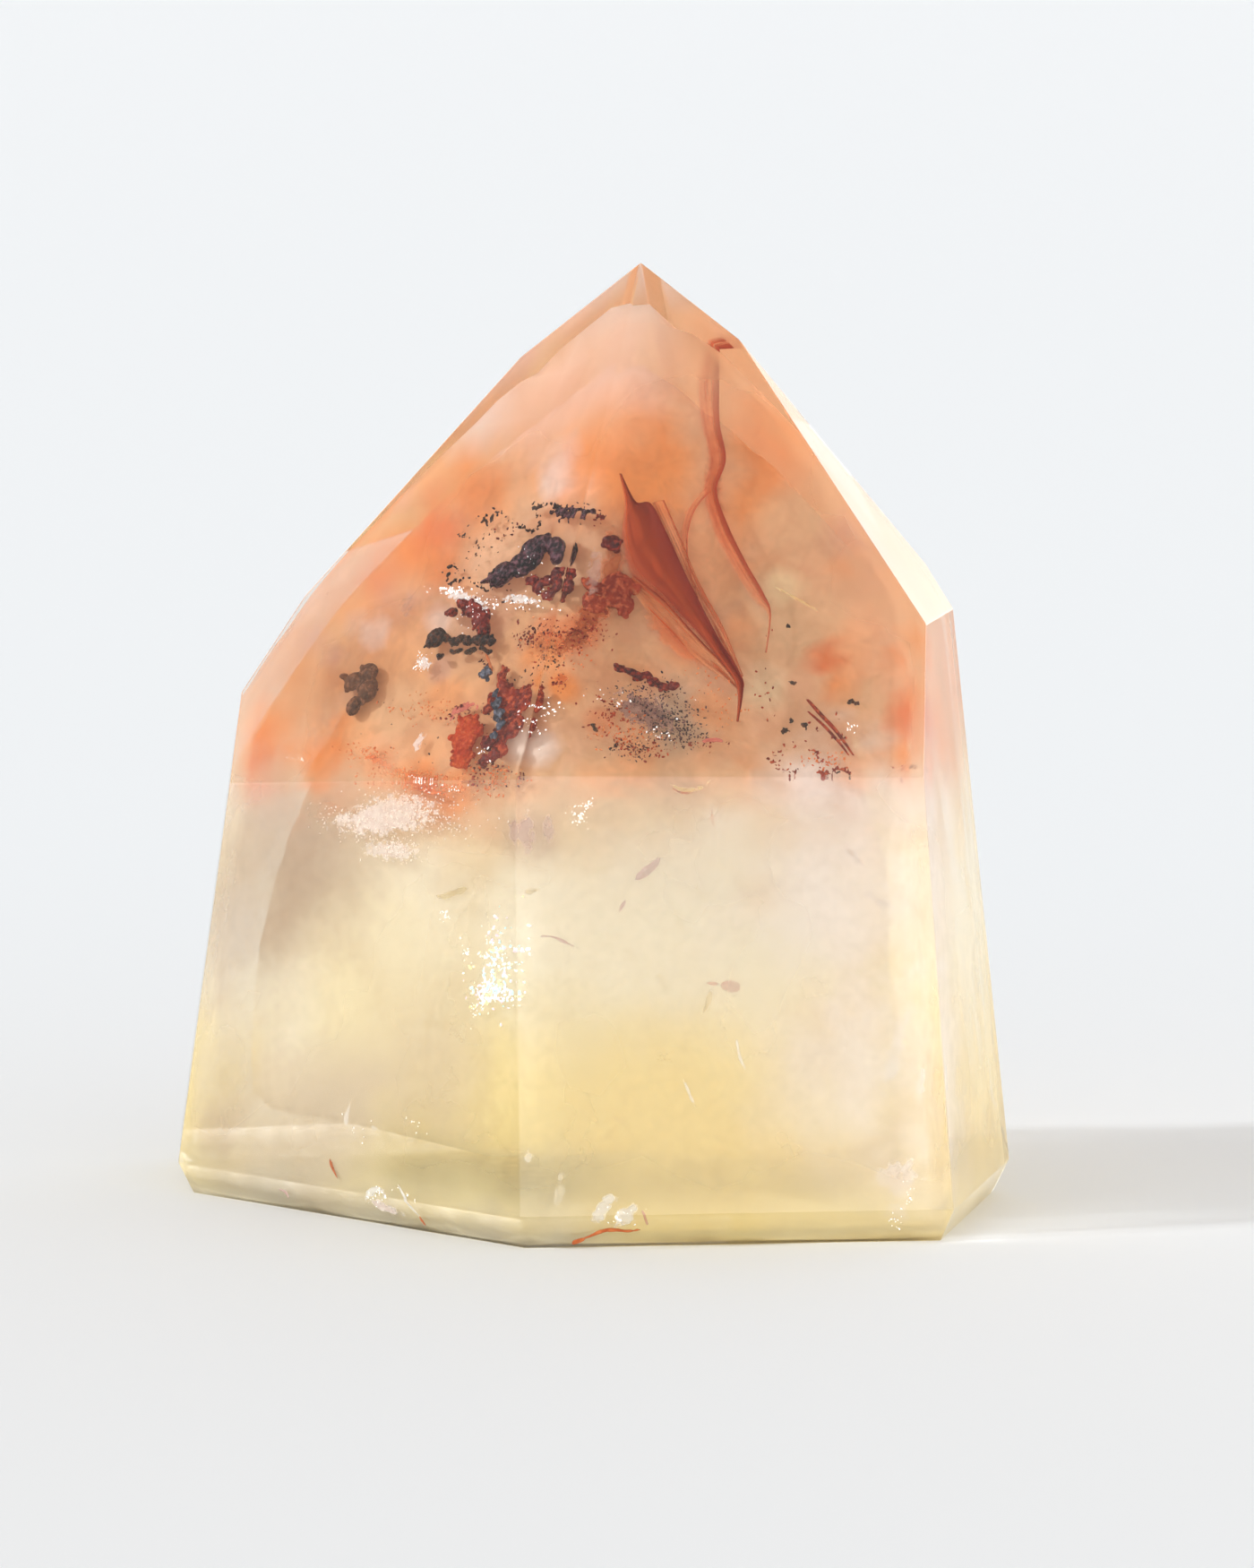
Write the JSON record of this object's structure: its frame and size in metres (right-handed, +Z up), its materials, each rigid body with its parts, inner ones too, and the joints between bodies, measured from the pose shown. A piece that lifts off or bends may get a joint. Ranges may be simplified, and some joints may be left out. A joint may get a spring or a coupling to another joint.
{
  "type": "citrine crystal point",
  "caption": "Short polished citrine point with a flat foot and a faceted tip that holds red, orange and black mineral inclusions.",
  "frame": {"origin": "middle of the box round the stone, on its ground foot", "axes": "+Z up along the point, -Y towards the viewer of the front facet, +X to that viewer's right"},
  "size_m": [0.0567, 0.0404, 0.0625],
  "materials": {
    "citrine": "polished clear quartz, pale yellow, IOR 1.544",
    "dark_oxide": "dull violet-black iron mineral",
    "maroon_oxide": "dull maroon iron oxide",
    "red_oxide": "earthy brick-red iron oxide",
    "rust_oxide": "earthy orange iron oxide",
    "brown_oxide": "dull brown iron mineral"
  },
  "bodies": {
    "root": {"crystal_back": "citrine", "crystal_front": "citrine", "violet_clump": "dark_oxide", "black_crust": "dark_oxide", "maroon_lump": "maroon_oxide", "maroon_bar": "maroon_oxide", "deep_red_lump": "red_oxide", "brick_lump": "red_oxide", "red_veil": "red_oxide", "upper_veil": "rust_oxide", "rust_lump": "rust_oxide", "brown_lump": "brown_oxide"}
  },
  "joints": []
}
